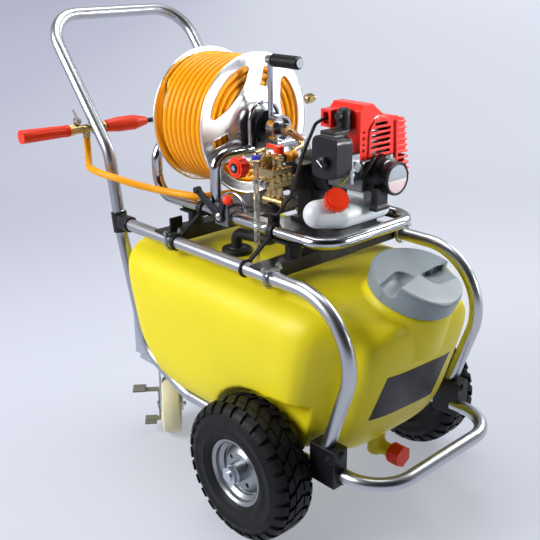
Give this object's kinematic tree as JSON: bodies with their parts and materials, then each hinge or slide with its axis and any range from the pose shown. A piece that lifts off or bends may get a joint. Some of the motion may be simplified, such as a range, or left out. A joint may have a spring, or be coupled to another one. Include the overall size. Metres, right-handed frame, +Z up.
{
  "type": "wheeled sprayer cart",
  "caption": "Wheeled sprayer cart with a moulded tank, a petrol engine driving a plunger pump, a cranked hose reel and a spray gun hooked behind the push handle.",
  "frame": {"origin": "on the floor, at the middle of the footprint", "axes": "+Z up, -Y towards the front of the cart, where the filler neck and bumper are, +X to the side the gun nozzle points to"},
  "size_m": [0.8103, 0.957, 0.8775],
  "materials": {
    "frame": "polished zinc tube",
    "bright_steel": "zinc plated",
    "chrome": "chromed tube",
    "black_metal": "satin black paint",
    "tank_shell": "moulded polyethylene",
    "cap_plastic": "grained",
    "rubber": "matte",
    "tyre": "moulded tread",
    "rim": "zinc plated",
    "nylon": "moulded",
    "brake_plastic": "moulded",
    "red_plastic": "gloss",
    "red_cover": "gloss",
    "brass": "machined",
    "clear_hose": "translucent",
    "cast_alloy": "die cast",
    "black_plastic": "grained",
    "fuel_tank_shell": "translucent white",
    "hose": "smooth vinyl",
    "flange": "polished",
    "lever_steel": "plated"
  },
  "bodies": {
    "chassis": {"side_rails": "frame", "push_handle": "frame", "bumper_tube": "frame", "axle": "bright_steel", "u_bolts": "bright_steel", "rear_bracket": "bright_steel", "gun_hooks": "bright_steel", "swivel_joint": "bright_steel", "unit_frame": "chrome", "front_hoop": "chrome", "axle_saddles": "black_metal", "frame_clamps": "black_metal", "cross_angles": "black_metal", "base_plate": "black_metal", "reel_bearings": "black_metal", "coupling_housing": "black_metal", "pump_crankcase": "black_metal", "tank": "tank_shell", "rubber_straps": "rubber", "plug_cap": "rubber", "throttle_cable": "rubber", "gun_front_grip": "red_plastic", "cylinder_cover": "red_cover", "muffler_guard": "red_cover", "feed_pipe": "brass", "pump_manifold": "brass", "gun_valve": "brass", "pump_hoses": "clear_hose", "engine_block": "cast_alloy", "carburettor": "cast_alloy", "throttle_bracket": "cast_alloy", "air_filter_case": "black_plastic", "starter_cover": "black_plastic", "gun_tube": "black_plastic", "fuel_tank": "fuel_tank_shell", "free_hose": "hose"},
    "wheel_left": {"tyre_left": "tyre", "rim_left": "rim"},
    "wheel_right": {"tyre_right": "tyre", "rim_right": "rim"},
    "caster_left": {"caster_fork_left": "bright_steel"},
    "caster_right": {"caster_fork_right": "bright_steel"},
    "caster_roller_left": {"caster_wheel_left": "nylon"},
    "caster_roller_right": {"caster_wheel_right": "nylon"},
    "brake_left": {"caster_brake_left": "brake_plastic"},
    "brake_right": {"caster_brake_right": "brake_plastic"},
    "filler_cap": {"tank_cap": "cap_plastic"},
    "drain_plug": {"drain_cap": "red_plastic"},
    "reel": {"reel_flange_front": "flange", "reel_flange_rear": "flange", "hose_pack": "hose", "wound_hose": "hose", "crank_arm": "chrome"},
    "crank_handle": {"crank_grip": "black_plastic"},
    "throttle": {"throttle_lever": "black_plastic"},
    "regulator": {"regulator_knob": "red_plastic"},
    "cock": {"outlet_cock": "red_plastic"},
    "petrol_cap": {"fuel_cap": "red_plastic"},
    "gun_grip": {"gun_rear_grip": "red_plastic"},
    "gun_trigger": {"gun_lever": "lever_steel"}
  },
  "joints": [
    {"name": "wheel_left_spin", "type": "hinge", "parent": "chassis", "child": "wheel_left", "pos_m": [-0.309, -0.22, 0.13], "axis": [1, 0, 0], "continuous": true},
    {"name": "wheel_right_spin", "type": "hinge", "parent": "chassis", "child": "wheel_right", "pos_m": [0.159, -0.22, 0.13], "axis": [1, 0, 0], "continuous": true},
    {"name": "caster_left_swivel", "type": "hinge", "parent": "chassis", "child": "caster_left", "pos_m": [-0.192, 0.168, 0.168], "axis": [0, 0, 1], "continuous": true},
    {"name": "caster_right_swivel", "type": "hinge", "parent": "chassis", "child": "caster_right", "pos_m": [0.042, 0.168, 0.168], "axis": [0, 0, 1], "continuous": true},
    {"name": "caster_left_spin", "type": "hinge", "parent": "caster_left", "child": "caster_roller_left", "pos_m": [-0.20431, 0.15224, 0.0625], "axis": [0.788, -0.6157, 0], "continuous": true},
    {"name": "caster_right_spin", "type": "hinge", "parent": "caster_right", "child": "caster_roller_right", "pos_m": [0.03582, 0.14898, 0.0625], "axis": [0.9511, -0.309, 0], "continuous": true},
    {"name": "brake_left_rock", "type": "hinge", "parent": "caster_left", "child": "brake_left", "pos_m": [-0.20431, 0.15224, 0.0625], "axis": [0.788, -0.6157, 0], "range_deg": [-10, 10]},
    {"name": "brake_right_rock", "type": "hinge", "parent": "caster_right", "child": "brake_right", "pos_m": [0.03582, 0.14898, 0.0625], "axis": [0.9511, -0.309, 0], "range_deg": [-10, 10]},
    {"name": "filler_cap_lift", "type": "slide", "parent": "chassis", "child": "filler_cap", "axis": [0, -0.3551, 0.9348], "range_m": [0, 0.09]},
    {"name": "drain_cap_turn", "type": "hinge", "parent": "chassis", "child": "drain_plug", "pos_m": [-0.075, -0.368, 0.118], "axis": [0, 1, 0], "continuous": true},
    {"name": "reel_spin", "type": "hinge", "parent": "chassis", "child": "reel", "pos_m": [-0.075, 0.08, 0.678], "axis": [0, 1, 0], "continuous": true},
    {"name": "crank_grip_spin", "type": "hinge", "parent": "reel", "child": "crank_handle", "pos_m": [-0.075, -0.072, 0.801], "axis": [0, 1, 0], "continuous": true},
    {"name": "throttle_swing", "type": "hinge", "parent": "chassis", "child": "throttle", "pos_m": [-0.213, -0.04, 0.533], "axis": [1, 0, 0], "range_deg": [-20, 25]},
    {"name": "regulator_turn", "type": "hinge", "parent": "chassis", "child": "regulator", "pos_m": [-0.233, -0.122, 0.643], "axis": [1, 0, 0], "continuous": true},
    {"name": "outlet_cock_turn", "type": "hinge", "parent": "chassis", "child": "cock", "pos_m": [-0.138, -0.12, 0.657], "axis": [0, 0, 1], "range_deg": [-90, 0]},
    {"name": "fuel_cap_turn", "type": "hinge", "parent": "chassis", "child": "petrol_cap", "pos_m": [-0.155, -0.276, 0.6], "axis": [-0.3434, -0.682, 0.6457], "continuous": true},
    {"name": "gun_grip_turn", "type": "hinge", "parent": "chassis", "child": "gun_grip", "pos_m": [-0.355, 0.321, 0.65342], "axis": [0.9998, 0, -0.0216], "continuous": true},
    {"name": "gun_lever_swing", "type": "hinge", "parent": "chassis", "child": "gun_trigger", "pos_m": [-0.278, 0.321, 0.668], "axis": [0, 1, 0], "range_deg": [-25, 25]}
  ]
}
